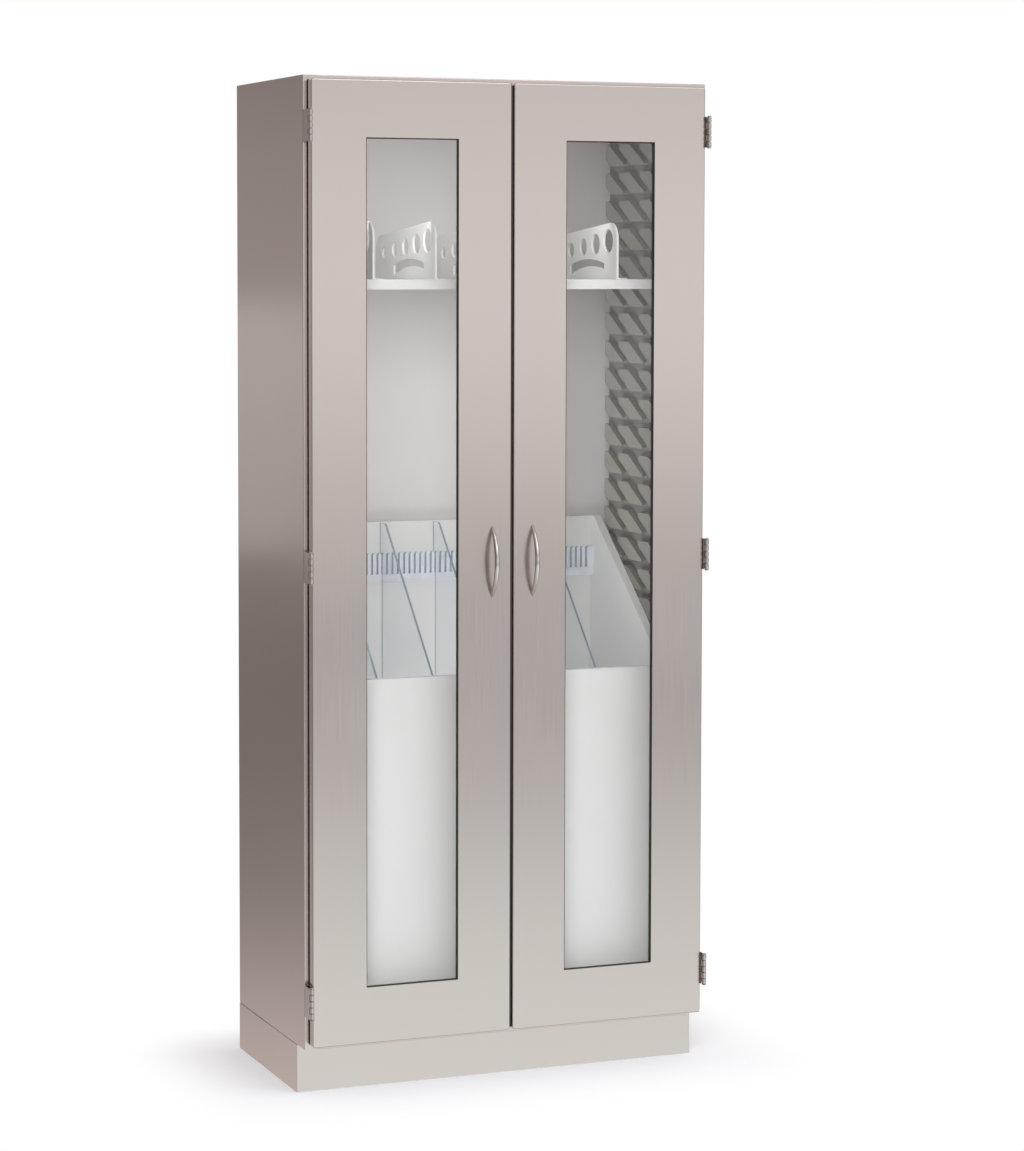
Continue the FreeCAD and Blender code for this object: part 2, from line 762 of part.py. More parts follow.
def door_nodes():
    hinges = [hinge(height) for height in hinge_heights]
    leaf_holes = [hole for h in hinges for hole in h["door_holes"]]
    handle_holes = handle_screw_holes()
    return {
        "door_front_pan": door_front_pan(handle_holes),
        "door_back_pan": door_back_pan(handle_holes + leaf_holes),
        "window_gasket": window_gasket(),
        "window_glass": window_glass(),
        "door_handle": handle(),
        "handle_screws": Part.makeCompound(handle_screws()),
        "hinge_door_leaves": Part.makeCompound([h["door_leaf"] for h in hinges]),
        "hinge_door_screws": Part.makeCompound([s for h in hinges for s in h["door_screws"]]),
        "catch_strike": strike()}


def save(name, shape):
    placed = shape.copy()
    placed.translate(to_origin)
    placed.exportStep("parts/%s.step" % name)


os.makedirs("parts", exist_ok=True)
for name, shape in cabinet_nodes().items():
    save(name, shape)
for name, shape in door_nodes().items():
    save("right_" + name, shape)
    save("left_" + name, mirrored(shape))
save("left_meeting_gasket", meeting_gasket())
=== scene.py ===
import bpy
import bmesh
import json
import math
from mathutils import Matrix, Vector


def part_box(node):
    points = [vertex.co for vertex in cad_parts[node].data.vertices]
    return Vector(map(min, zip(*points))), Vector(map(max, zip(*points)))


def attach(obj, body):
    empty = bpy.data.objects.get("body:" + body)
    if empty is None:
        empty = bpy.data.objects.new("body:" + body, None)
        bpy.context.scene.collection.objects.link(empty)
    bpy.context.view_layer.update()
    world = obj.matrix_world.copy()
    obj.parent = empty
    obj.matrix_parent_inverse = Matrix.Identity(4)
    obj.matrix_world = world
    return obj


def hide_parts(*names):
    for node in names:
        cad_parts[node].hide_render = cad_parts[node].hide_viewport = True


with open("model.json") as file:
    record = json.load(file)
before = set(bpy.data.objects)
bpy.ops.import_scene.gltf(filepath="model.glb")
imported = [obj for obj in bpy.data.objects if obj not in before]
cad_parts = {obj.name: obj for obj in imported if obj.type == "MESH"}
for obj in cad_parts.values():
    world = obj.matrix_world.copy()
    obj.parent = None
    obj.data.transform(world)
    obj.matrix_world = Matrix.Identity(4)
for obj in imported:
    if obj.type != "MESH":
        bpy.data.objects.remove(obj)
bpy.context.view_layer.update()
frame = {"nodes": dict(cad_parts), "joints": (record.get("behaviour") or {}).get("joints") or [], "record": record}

nodes = frame["nodes"]
print("frame loaded,", len(nodes), "nodes")


def hexColour(text):
    # sRGB hex to the linear colour that a socket takes
    parts = [int(text[i:i + 2], 16) / 255 for i in (1, 3, 5)]
    return [c / 12.92 if c <= 0.04045 else ((c + 0.055) / 1.055) ** 2.4 for c in parts] + [1.0]


def addNode(tree, kind, inputs=None, **settings):
    # one node, with its settings and with each input either linked or set
    node = tree.nodes.new(kind)
    for key, value in settings.items():
        setattr(node, key, value)
    for key, value in (inputs or {}).items():
        if isinstance(value, bpy.types.NodeSocket):
            tree.links.new(value, node.inputs[key])
        else:
            node.inputs[key].default_value = value
    return node


# Camera, as the photograph was taken
photoCamera = {"place": (-2.4961, -6.3539, 1.7528), "yaw": 21.638, "pitch": -3.726, "roll": 0.094,
               "lens": 98.09, "sensor": 36.0, "shift": (0.0239, -0.096)}


def setCamera(c):
    data = bpy.data.cameras.new("photoCamera")
    data.lens = c["lens"]
    data.sensor_width = c["sensor"]
    data.shift_x, data.shift_y = c["shift"]
    camera = bpy.data.objects.new("photoCamera", data)
    camera.location = c["place"]
    camera.rotation_euler = [math.radians(a) for a in (90 + c["pitch"], -c["roll"], -c["yaw"])]
    bpy.context.scene.collection.objects.link(camera)
    bpy.context.scene.camera = camera


setCamera(photoCamera)

# Studio: a pale floor, a soft dome, soft boxes, and soft panels inside the cabinet.
# The dome's stops are (height, brightness), and its front half is brighter than the half behind
studio = {"view": "Standard", "floorRadius": 1.7, "floorSides": 96, "floorColour": "#F5F9FE",
          "floorRough": 0.8, "floorGlow": 0.12, "floorFade": (0.0, 0.28), "standsOn": (0.457, 0.2, 0),
          "frontStops": ((-1.0, 1.00), (-0.26, 1.16), (-0.20, 1.10), (-0.14, 0.35), (-0.09, 0.65),
                         (-0.03, 1.24), (0.03, 1.06), (0.12, 0.62), (0.45, 2.00), (1.0, 1.60)),
          "behindStops": ((-1.0, 0.58), (-0.26, 0.80), (-0.20, 0.33), (-0.14, 0.235), (-0.09, 0.32),
                          (-0.03, 0.45), (0.03, 0.42), (0.12, 0.16), (0.45, 0.45), (1.0, 0.65)),
          "towardsFront": (0.37, -0.93, 0.0), "frontFrom": 0.3, "frontFull": 0.9, "behindTint": "#FFF3EF",
          "lowTint": (1.0, 1.05, 1.06), "lowBelow": -0.18, "backdrop": 1.0,
          "boxes": (("frontBox", (-2.2, -4.3, 2.9), (0, -0.2, 1.2), (2.2, 2.2), 116, False),
                    ("rightBox", (3.4, -2.8, 3.0), (0, -0.2, 1.0), (2.0, 2.4), 38, False),
                    ("glintBox", (0.9, -2.4, 4.6), (0, -0.25, 1.1), (0.6, 0.6), 4, True),
                    ("leftRearBox", (-2.06, 4.2, 1.16), (-0.4, 0.2, 1.16), (1.6, 0.9), 1.0, True)),
          "insidePanels": (("topBayPanel", (-0.05, -0.13, 1.93), (0, 1, 0), (0.6, 0.28), 0.8),
                           ("middleBayPanel", (-0.14, -0.13, 1.5), (0, 1, 0), (0.5, 0.36), 0.5),
                           ("tubFrontPanel", (0, -0.192, 0.56), (0, 1, 0), (0.8, 0.68), 0.18),
                           ("tubPanel", (-0.05, -0.08, 0.60), (0, 1, 0), (0.6, 0.5), 2.8),
                           ("tubWallPanel", (-0.3, 0.06, 0.75), (1, 0, 0), (0.26, 0.4), 3.2),
                           ("topWallPanel", (-0.36, 0.05, 1.92), (1, 0, 0), (0.32, 0.3), 0.15),
                           ("middleWallPanel", (-0.36, 0.05, 1.3), (1, 0, 0), (0.32, 0.6), 0.3))}


def softBox(name, place, aim, size, power, shownIn):
    data = bpy.data.lights.new(name, "AREA")
    data.shape = "RECTANGLE"
    data.size, data.size_y = size
    data.energy = power
    box = bpy.data.objects.new(name, data)
    box.location = place
    box.rotation_euler = (Vector(aim) - Vector(place)).to_track_quat("-Z", "Y").to_euler()
    bpy.context.scene.collection.objects.link(box)
    box.visible_camera = False
    box.visible_glossy = shownIn
    box.visible_transmission = shownIn
    return box


def floorPaint(s):
    # pale paint that passes into the plain backdrop away from the cabinet
    paint = bpy.data.materials.new("paleFloor")
    paint.use_nodes = True
    tree = paint.node_tree
    matt = tree.nodes["Principled BSDF"]
    matt.inputs["Base Color"].default_value = hexColour(s["floorColour"])
    matt.inputs["Roughness"].default_value = s["floorRough"]
    matt.inputs["Emission Color"].default_value = (1, 1, 1, 1)
    matt.inputs["Emission Strength"].default_value = s["floorGlow"]
    where = addNode(tree, "ShaderNodeTexCoord").outputs["Object"]
    across = addNode(tree, "ShaderNodeVectorMath", {0: where}, operation="ABSOLUTE").outputs[0]
    beyond = addNode(tree, "ShaderNodeVectorMath", {0: across, 1: s["standsOn"]}, operation="SUBTRACT")
    outside = addNode(tree, "ShaderNodeVectorMath", {0: beyond.outputs[0], 1: (0, 0, 0)}, operation="MAXIMUM")
    distance = addNode(tree, "ShaderNodeVectorMath", {0: outside.outputs[0]}, operation="LENGTH")
    near, far = s["floorFade"]
    fade = addNode(tree, "ShaderNodeMapRange", {"Value": distance.outputs["Value"], "From Min": near,
                                                "From Max": far}, interpolation_type="SMOOTHSTEP")
    seen = addNode(tree, "ShaderNodeLightPath").outputs["Is Camera Ray"]
    share = addNode(tree, "ShaderNodeMath", {0: fade.outputs["Result"], 1: seen}, operation="MULTIPLY")
    plain = addNode(tree, "ShaderNodeEmission", {"Strength": s["backdrop"]}).outputs[0]
    mix = addNode(tree, "ShaderNodeMixShader", {0: share.outputs[0], 1: matt.outputs[0], 2: plain})
    tree.links.new(mix.outputs[0], tree.nodes["Material Output"].inputs["Surface"])
    return paint


def layFloor(s):
    ground = bmesh.new()
    bmesh.ops.create_circle(ground, cap_ends=True, segments=s["floorSides"], radius=s["floorRadius"])
    mesh = bpy.data.meshes.new("floor")
    ground.to_mesh(mesh)
    ground.free()
    floor = bpy.data.objects.new("floor", mesh)
    bpy.context.scene.collection.objects.link(floor)
    mesh.materials.append(floorPaint(s))
    floor.visible_glossy = False  # the dome's lower half stands for it in reflections


def lightRamp(tree, height, stops, lowTint=(1, 1, 1), lowBelow=-1.0):
    # brightness by height, at half strength to stay inside the ramp's range
    ramp = addNode(tree, "ShaderNodeValToRGB", {"Fac": height})
    marks = ramp.color_ramp.elements
    while len(marks) < len(stops):
        marks.new(0.5)
    for mark, (z, level) in zip(marks, stops):
        mark.position = (z + 1) / 2
        tint = lowTint if z < lowBelow else (1, 1, 1)
        mark.color = [level / 2 * share for share in tint] + [1]
    return ramp.outputs["Color"]


def setStudio(s):
    scene = bpy.context.scene
    scene.view_settings.view_transform = s["view"]
    world = bpy.data.worlds.new("softDome")
    scene.world = world
    world.use_nodes = True
    tree = world.node_tree
    tree.nodes.clear()
    direction = addNode(tree, "ShaderNodeTexCoord").outputs["Generated"]
    height = addNode(tree, "ShaderNodeSeparateXYZ", {"Vector": direction}).outputs["Z"]
    share = addNode(tree, "ShaderNodeMapRange", {"Value": height, "From Min": -1.0, "From Max": 1.0})
    frontLight = lightRamp(tree, share.outputs["Result"], s["frontStops"], s["lowTint"], s["lowBelow"])
    behindLight = lightRamp(tree, share.outputs["Result"], s["behindStops"])
    facing = addNode(tree, "ShaderNodeVectorMath", {0: direction, 1: s["towardsFront"]},
                     operation="DOT_PRODUCT").outputs["Value"]
    front = addNode(tree, "ShaderNodeMapRange", {"Value": facing, "From Min": s["frontFrom"],
                                                 "From Max": s["frontFull"]}, interpolation_type="SMOOTHSTEP")
    tinted = addNode(tree, "ShaderNodeMix", {0: 1.0, 6: behindLight, 7: hexColour(s["behindTint"])},
                     data_type="RGBA", blend_type="MULTIPLY")
    both = addNode(tree, "ShaderNodeMix", {0: front.outputs["Result"], 6: tinted.outputs[2], 7: frontLight},
                   data_type="RGBA")
    dome = addNode(tree, "ShaderNodeBackground", {"Color": both.outputs[2], "Strength": 2.0})
    plain = addNode(tree, "ShaderNodeBackground", {"Color": (1, 1, 1, 1), "Strength": s["backdrop"]})
    seen = addNode(tree, "ShaderNodeLightPath").outputs["Is Camera Ray"]
    mix = addNode(tree, "ShaderNodeMixShader", {0: seen, 1: dome.outputs[0], 2: plain.outputs[0]})
    addNode(tree, "ShaderNodeOutputWorld", {"Surface": mix.outputs[0]})
    for name, place, aim, size, power, shownIn in s["boxes"]:
        softBox(name, place, aim, size, power, shownIn)
    for name, place, way, size, power in s["insidePanels"]:
        softBox(name, place, Vector(place) + Vector(way), size, power, False)
    layFloor(s)


setStudio(studio)
print("camera and studio set")


def newMaterial(name):
    material = bpy.data.materials.new(name)
    material.use_nodes = True
    tree = material.node_tree
    return material, tree, tree.nodes["Principled BSDF"]


def dressShader(tree, shader, s, pattern, height, depth):
    # colour and roughness follow a pattern, the bump follows a height
    colour = addNode(tree, "ShaderNodeMix", {0: pattern, 6: hexColour(s["dark"]), 7: hexColour(s["light"])},
                     data_type="RGBA")
    rough = addNode(tree, "ShaderNodeMapRange", {"Value": pattern, "From Min": 0.3, "From Max": 0.7,
                                                 "To Min": s["roughLow"], "To Max": s["roughHigh"]})
    bump = addNode(tree, "ShaderNodeBump", {"Height": height, "Strength": s["bump"], "Distance": depth})
    tree.links.new(colour.outputs[2], shader.inputs["Base Color"])
    tree.links.new(rough.outputs[0], shader.inputs["Roughness"])
    tree.links.new(bump.outputs[0], shader.inputs["Normal"])


# Satin stainless sheet, belt-ground in one direction: a warm grey metal with fine long scratches that
# blur a reflection across the grain. The real scratches are 0.05 mm, drawn coarser so that they show
stainless = {"light": "#D0C6C1", "dark": "#C4BAB5", "grainWidth": 1.0, "grainLength": 180.0, "cloud": 420.0,
             "cloudShare": 0.35, "roughLow": 0.15, "roughHigh": 0.24, "anisotropy": 0.45, "bump": 0.03,
             "bumpDepth": 0.0004}


def brushedStainless(name, s, along):
    material, tree, shader = newMaterial(name)
    where = addNode(tree, "ShaderNodeTexCoord").outputs["Object"]
    scale = [1000 / (s["grainLength"] if axis == along else s["grainWidth"]) for axis in "XYZ"]
    grainPlace = addNode(tree, "ShaderNodeMapping", {"Vector": where, "Scale": scale})
    grain = addNode(tree, "ShaderNodeTexNoise", {"Vector": grainPlace.outputs[0], "Scale": 1.0, "Detail": 4.0,
                                                "Roughness": 0.65}).outputs["Fac"]
    cloud = addNode(tree, "ShaderNodeTexNoise", {"Vector": where, "Scale": 1000 / s["cloud"], "Detail": 2.0})
    both = addNode(tree, "ShaderNodeMix", {0: s["cloudShare"], 2: grain, 3: cloud.outputs["Fac"]})
    shader.inputs["Metallic"].default_value = 1.0
    shader.inputs["Anisotropic"].default_value = s["anisotropy"]
    dressShader(tree, shader, s, both.outputs[0], grain, s["bumpDepth"])
    return material


uprightSteel = brushedStainless("stainlessUprightGrain", stainless, "Z")
levelSteel = brushedStainless("stainlessLevelGrain", stainless, "X")


def grainedFinish(name, s):
    # colour drifts in clouds, roughness and bump follow a fine grain, all sizes in mm
    material, tree, shader = newMaterial(name)
    where = addNode(tree, "ShaderNodeTexCoord").outputs["Object"]
    cloud = addNode(tree, "ShaderNodeTexNoise", {"Vector": where, "Scale": 1000 / s["cloud"], "Detail": 4.0})
    grain = addNode(tree, "ShaderNodeTexNoise", {"Vector": where, "Scale": 1000 / s["grain"], "Detail": 2.0})
    both = addNode(tree, "ShaderNodeMix", {0: s["grainShare"], 2: cloud.outputs["Fac"],
                                           3: grain.outputs["Fac"]})
    for key, socket in (("metallic", "Metallic"), ("ior", "IOR"), ("transmission", "Transmission Weight")):
        if key in s:
            shader.inputs[socket].default_value = s[key]
    quarterGrain = s["grain"] / 1000 / 4
    dressShader(tree, shader, s, both.outputs[0], grain.outputs["Fac"], quarterGrain)
    return material


# Satin nickel plate on a cast pull: a soft warm-grey gleam with a barely uneven surface
satinNickel = grainedFinish("satinNickelPlate", {
    "light": "#D0CDCA", "dark": "#C0BDB9", "cloud": 22.0, "grain": 1.2, "grainShare": 0.4, "roughLow": 0.14,
    "roughHigh": 0.22, "bump": 0.03, "metallic": 1.0})
# Rolled and stamped hinge steel, tumbled dull: greyer than the sheet, with small dull patches
hingeSteel = grainedFinish("tumbledHingeSteel", {
    "light": "#CDC7C3", "dark": "#AFA9A4", "cloud": 14.0, "grain": 0.9, "grainShare": 0.4, "roughLow": 0.18,
    "roughHigh": 0.32, "bump": 0.06, "metallic": 1.0})
# Zinc-plated screw steel: cool grey, slightly cloudy
zincSteel = grainedFinish("zincPlatedSteel", {
    "light": "#A9ABAD", "dark": "#85878A", "cloud": 5.0, "grain": 0.6, "grainShare": 0.4, "roughLow": 0.3,
    "roughHigh": 0.48, "bump": 0.06, "metallic": 1.0})
# Powder coat baked on sheet steel: even colour, with a low orange peel that breaks up the gloss
linerCoat = grainedFinish("lightGreyPowderCoat", {
    "light": "#D9D5D5", "dark": "#CFCBCB", "cloud": 260.0, "grain": 2.2, "grainShare": 0.25, "roughLow": 0.4,
    "roughHigh": 0.52, "bump": 0.1})
whiteCoat = grainedFinish("whitePowderCoat", {
    "light": "#E4E4E2", "dark": "#DCDCDA", "cloud": 200.0, "grain": 2.2, "grainShare": 0.25, "roughLow": 0.34,
    "roughHigh": 0.46, "bump": 0.1})
# Moulded plastics: a fine spark-eroded grain that dulls the shine. The grain is drawn twice its real size
whitePlastic = grainedFinish("whiteMouldedPolystyrene", {
    "light": "#F0F1EE", "dark": "#E4E5E2", "cloud": 60.0, "grain": 0.8, "grainShare": 0.3, "roughLow": 0.36,
    "roughHigh": 0.5, "bump": 0.06, "ior": 1.55})
greyPlastic = grainedFinish("greyMouldedAbs", {
    "light": "#74726B", "dark": "#69665F", "cloud": 90.0, "grain": 0.9, "grainShare": 0.35, "roughLow": 0.38,
    "roughHigh": 0.55, "bump": 0.12, "ior": 1.53})
# The wall between the lugs: the same plastic with painted shade, drawn darker for the shade that falls between the
# lugs
lugWallPaintedShade = grainedFinish("greyMouldedAbsPaintedShade", {
    "light": "#5C5A54", "dark": "#52504A", "cloud": 90.0, "grain": 0.9, "grainShare": 0.35, "roughLow": 0.45,
    "roughHigh": 0.6, "bump": 0.12, "ior": 1.53})
catchPlastic = grainedFinish("darkGreyMouldedNylon", {
    "light": "#56534F", "dark": "#423F3C", "cloud": 12.0, "grain": 0.7, "grainShare": 0.4, "roughLow": 0.4,
    "roughHigh": 0.56, "bump": 0.1, "ior": 1.53})
# White laminate board: smooth and even, with a faint waviness of its pressed face
tubBoard = grainedFinish("whiteLaminateBoard", {
    "light": "#DDDEDD", "dark": "#D6D7D6", "cloud": 180.0, "grain": 3.0, "grainShare": 0.3, "roughLow": 0.36,
    "roughHigh": 0.48, "bump": 0.05})
# Extruded black rubber: matt, with a dusty bloom in patches
blackRubber = grainedFinish("blackExtrudedRubber", {
    "light": "#34332F", "dark": "#1C1C1B", "cloud": 30.0, "grain": 0.7, "grainShare": 0.3, "roughLow": 0.55,
    "roughHigh": 0.75, "bump": 0.08, "ior": 1.52})
# Clear cast acrylic: colourless through its face, steel blue where the eye looks along the sheet at an edge
clearAcrylic = grainedFinish("clearCastAcrylic", {
    "light": "#FDFEFF", "dark": "#FAFDFF", "cloud": 120.0, "grain": 4.0, "grainShare": 0.2, "roughLow": 0.0,
    "roughHigh": 0.03, "bump": 0.01, "ior": 1.22, "transmission": 1.0})
acrylicEdge = grainedFinish("polishedAcrylicEdge", {
    "light": "#9AA9B4", "dark": "#8596A3", "cloud": 40.0, "grain": 1.0, "grainShare": 0.4, "roughLow": 0.12,
    "roughHigh": 0.3, "bump": 0.04, "ior": 1.49, "transmission": 0.1})
combPlastic = grainedFinish("pressedAcrylicComb", {
    "light": "#EDF1F7", "dark": "#E4EAF2", "cloud": 50.0, "grain": 1.4, "grainShare": 0.3, "roughLow": 0.2,
    "roughHigh": 0.34, "bump": 0.05, "ior": 1.3, "transmission": 0.12})
# Clear float glass: colourless, with a barely greyed film where hands and cloths have wiped it
windowGlass = grainedFinish("clearFloatGlass", {
    "light": "#FDFDFD", "dark": "#FAFAFA", "cloud": 210.0, "grain": 6.0, "grainShare": 0.2, "roughLow": 0.0,
    "roughHigh": 0.02, "bump": 0.0, "ior": 1.45, "transmission": 1.0})

finishes = {"brushed_stainless": uprightSteel, "hinge_steel": hingeSteel, "satin_nickel": satinNickel,
            "zinc_screw_steel": zincSteel, "liner_powder_coat": linerCoat, "white_powder_coat": whiteCoat,
            "white_moulded_plastic": whitePlastic, "white_tub_board": tubBoard, "clear_acrylic": combPlastic,
            "grey_moulded_plastic": greyPlastic, "catch_plastic": catchPlastic, "window_glass": windowGlass,
            "black_rubber": blackRubber}
levelGrained = ("plinth_front", "plinth_left", "plinth_right", "plinth_back", "top_panel", "floor_panel")
for part in frame["record"]["subparts"]:
    finish = levelSteel if part["node"] in levelGrained else finishes[part["material_slot"]]
    nodes[part["node"]].material_slots[0].material = finish
for side in ("left", "right"):
    nodes[side + "_window_glass"].visible_shadow = False  # light passes the panes
print("materials set")

# Mesh helpers


def meshFrom(bm, name):
    bmesh.ops.remove_doubles(bm, verts=bm.verts, dist=1e-6)
    bmesh.ops.recalc_face_normals(bm, faces=bm.faces)
    mesh = bpy.data.meshes.new(name)
    bm.to_mesh(mesh)
    bm.free()
    return mesh


def evaluated(piece):
    # the mesh that the piece's modifiers or curve give
    scene = bpy.context.scene
    scene.collection.objects.link(piece)
    graph = bpy.context.evaluated_depsgraph_get()
    mesh = bpy.data.meshes.new_from_object(piece.evaluated_get(graph), depsgraph=graph)
    bpy.data.objects.remove(piece)
    return mesh


def joinMeshes(name, meshes):
    bm = bmesh.new()
    for mesh in meshes:
        bm.from_mesh(mesh)
    joined = bpy.data.meshes.new(name)
    bm.to_mesh(joined)
    bm.free()
    return joined


def moved(mesh, place=(0, 0, 0), across=(1, 0, 0), up=(0, 1, 0)):
    # a copy whose own X and Y run along two given directions
    x, y = Vector(across), Vector(up)
    turn = Matrix((x, y, x.cross(y))).transposed().to_4x4()
    copy = mesh.copy()
    copy.transform(Matrix.Translation(place) @ turn)
    return copy


def mirrored(mesh):
    copy = mesh.copy()
    copy.transform(Matrix.Diagonal((-1, 1, 1, 1)))
    copy.flip_normals()
    return copy


def roundedLoop(corners, steps=6):
    # points round a polygon of (u, v, corner radius)
    points = []
    for i, (u, v, radius) in enumerate(corners):
        here = Vector((u, v))
        if not radius:
            points.append(here)
            continue
        toLast = (Vector(corners[i - 1][:2]) - here).normalized()
        toNext = (Vector(corners[(i + 1) % len(corners)][:2]) - here).normalized()
        half = toLast.angle(toNext) / 2
        centre = here + (toLast + toNext).normalized() * radius / math.sin(half)
        start = (here + toLast * radius / math.tan(half) - centre).normalized()
        end = (here + toNext * radius / math.tan(half) - centre).normalized()
        points += [centre + start.slerp(end, k / steps) * radius for k in range(steps + 1)]
    return points


def circleLoop(u, v, radius, count=40):
    turns = [2 * math.pi * k / count for k in range(count)]
    return [Vector((u + radius * math.cos(a), v + radius * math.sin(a))) for a in turns]


def flatPlate(name, outline, holes, thickness, edge):
    # a plate with eased edges, in its own XY plane
    curve = bpy.data.curves.new(name, "CURVE")
    curve.dimensions = "2D"
    curve.fill_mode = "BOTH"
    for loop in [outline] + holes:
        spline = curve.splines.new("POLY")
        spline.points.add(len(loop) - 1)
        for point, (u, v) in zip(spline.points, loop):
            point.co = (u, v, 0, 1)
        spline.use_cyclic_u = True
    curve.extrude = thickness / 2 - edge
    curve.bevel_depth = edge
    curve.bevel_resolution = 1
    curve.offset = -edge
    bm = bmesh.new()
    bm.from_mesh(evaluated(bpy.data.objects.new(name, curve)))
    return meshFrom(bm, name)


def sheetBox(name, low, high, edge):
    # a rectangular board with eased edges between two corners
    size = Vector(high) - Vector(low)
    bm = bmesh.new()
    bmesh.ops.create_cube(bm, size=1)
    bmesh.ops.scale(bm, vec=size, verts=bm.verts)
    bmesh.ops.translate(bm, vec=(Vector(high) + Vector(low)) / 2, verts=bm.verts)
    bmesh.ops.bevel(bm, geom=bm.edges[:], offset=edge, segments=2, profile=0.5, affect="EDGES")
    return meshFrom(bm, name)


def turned(name, profile, count=32):
    # a round piece about its own Z, from (radius, height) points
    bm = bmesh.new()
    rings = []
    for radius, height in profile:
        if radius:
            rings.append([bm.verts.new((u, v, height)) for u, v in circleLoop(0, 0, radius, count)])
        else:
            rings.append([bm.verts.new((0, 0, height))] * count)
    for low, high in zip(rings, rings[1:]):
        for k in range(count):
            corners = [low[k - 1], low[k], high[k], high[k - 1]]
            bm.faces.new(list(dict.fromkeys(corners)))
    return meshFrom(bm, name)


def bridgeLoops(bm, loops, capEnds=True):
    rings = [[bm.verts.new(p) for p in loop] for loop in loops]
    for low, high in zip(rings, rings[1:]):
        for k in range(len(low)):
            bm.faces.new((low[k - 1], low[k], high[k], high[k - 1]))
    if capEnds:
        bm.faces.new(rings[0])
        bm.faces.new(rings[-1])


# Geometry nodes: a shape repeated in a straight run, made real and coated


def repeatTree():
    tree = bpy.data.node_groups.new("repeatInRun", "GeometryNodeTree")
    for name, kind in (("Shape", "NodeSocketGeometry"), ("Count", "NodeSocketInt"),
                       ("Step", "NodeSocketVector"), ("Material", "NodeSocketMaterial")):
        tree.interface.new_socket(name, in_out="INPUT", socket_type=kind)
    tree.interface.new_socket("Run", in_out="OUTPUT", socket_type="NodeSocketGeometry")
    source = addNode(tree, "NodeGroupInput")
    line = addNode(tree, "GeometryNodeMeshLine", {"Count": source.outputs["Count"],
                                                  "Offset": source.outputs["Step"]}, mode="OFFSET")
    copies = addNode(tree, "GeometryNodeInstanceOnPoints", {"Points": line.outputs[0],
                                                            "Instance": source.outputs["Shape"]})
    real = addNode(tree, "GeometryNodeRealizeInstances", {0: copies.outputs[0]})
    coated = addNode(tree, "GeometryNodeSetMaterial", {"Geometry": real.outputs[0],
                                                       "Material": source.outputs["Material"]})
    addNode(tree, "NodeGroupOutput", {0: coated.outputs[0]})
    return tree


runTree = repeatTree()
runInputs = {item.name: item.identifier for item in runTree.interface.items_tree}


def repeated(mesh, material, *runs):
    # the mesh repeated along each (count, step) run in turn
    piece = bpy.data.objects.new(mesh.name, mesh)
    for count, step in runs:
        run = piece.modifiers.new("run", "NODES")
        run.node_group = runTree
        run[runInputs["Count"]] = count
        run[runInputs["Step"]] = step
        run[runInputs["Material"]] = material
    return evaluated(piece)


crispAngle = math.radians(38)  # edges that turn by more stay crisp


def settle(name, mesh, materials, body, slot, *replaced):
    # shades the finished mesh evenly, hangs it on its body and hides the parts it replaces
    if mesh.materials:
        mesh.materials.clear()
    for material in materials:
        mesh.materials.append(material)
    mesh.shade_smooth()
    mesh.set_sharp_from_angle(angle=crispAngle)
    draft = bpy.data.objects.new(name + "_draft", mesh)
    even = draft.modifiers.new("evenShading", "WEIGHTED_NORMAL")
    even.keep_sharp = True
    piece = bpy.data.objects.new(name, evaluated(draft))
    piece.data.name = name
    bpy.context.scene.collection.objects.link(piece)
    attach(piece, body)
    if replaced:
        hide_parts(*replaced)
    return piece


# Places that the pieces share, read from the frame
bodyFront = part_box("left_side_panel")[0].y
doorFront, doorBack = (corner.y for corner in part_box("right_door_front_pan"))
sides = (("right", lambda mesh: mesh.copy()), ("left", mirrored))

# Screw heads with a cross recess, in shares of the head's radius and height
screwHead = {"armLength": 0.56, "armWidth": 0.17, "recess": 0.7, "recessTaper": 0.6, "segments": 24,
             "crown": ((1.0, 0.0), (1.0, 0.3), (0.95, 0.72), (0.72, 1.0))}


def crossHead(name, radius, height, h=screwHead):
    # stands on its own XY plane; the crown runs in to a flat with the recess
    n = h["segments"]
    bm = bmesh.new()
    rings = []
    for share, rise in h["crown"]:
        rings.append([bm.verts.new((u, v, height * rise)) for u, v in circleLoop(0, 0, radius * share, n)])
    for low, high in zip(rings, rings[1:]):
        for k in range(n):
            bm.faces.new((low[k - 1], low[k], high[k], high[k - 1]))
    bm.faces.new(rings[0])
    a, w = radius * h["armLength"], radius * h["armWidth"]
    arm = [(a, -w), (a, w), (w, w)]
    outline = [(x * c - y * s, x * s + y * c) for c, s in ((1, 0), (0, 1), (-1, 0), (0, -1)) for x, y in arm]
    mouth = [bm.verts.new((x, y, height)) for x, y in outline]
    taper = h["recessTaper"]
    base = [bm.verts.new((x * taper, y * taper, height * (1 - h["recess"]))) for x, y in outline]
    rim = [bm.edges.new((mouth[k - 1], mouth[k])) for k in range(len(mouth))]
    top = [bm.edges.get((rings[-1][k - 1], rings[-1][k])) for k in range(n)]
    bmesh.ops.triangle_fill(bm, use_beauty=True, edges=rim + top, normal=(0, 0, 1))
    for k in range(len(mouth)):
        bm.faces.new((mouth[k - 1], mouth[k], base[k], base[k - 1]))
    bm.faces.new(base)
    return meshFrom(bm, name)


# Lug panels: moulded grey walls whose slanted lugs carry a shelf at any row
lugPanel = {"proud": 0.0105, "height": 0.0474, "length": 0.078, "run": 0.087, "pitch": 0.111,
            "overhang": 0.0614, "nose": 0.008, "corner": 0.003, "rowPitch": 0.0635, "firstRow": 0.2379,
            "rows": {"lower": (0, 19), "upper": (19, 11)}, "edge": 0.0011, "edgeSteps": 3, "flare": 0.0008,
            "plateEdge": 0.0006, "sunk": 0.001}


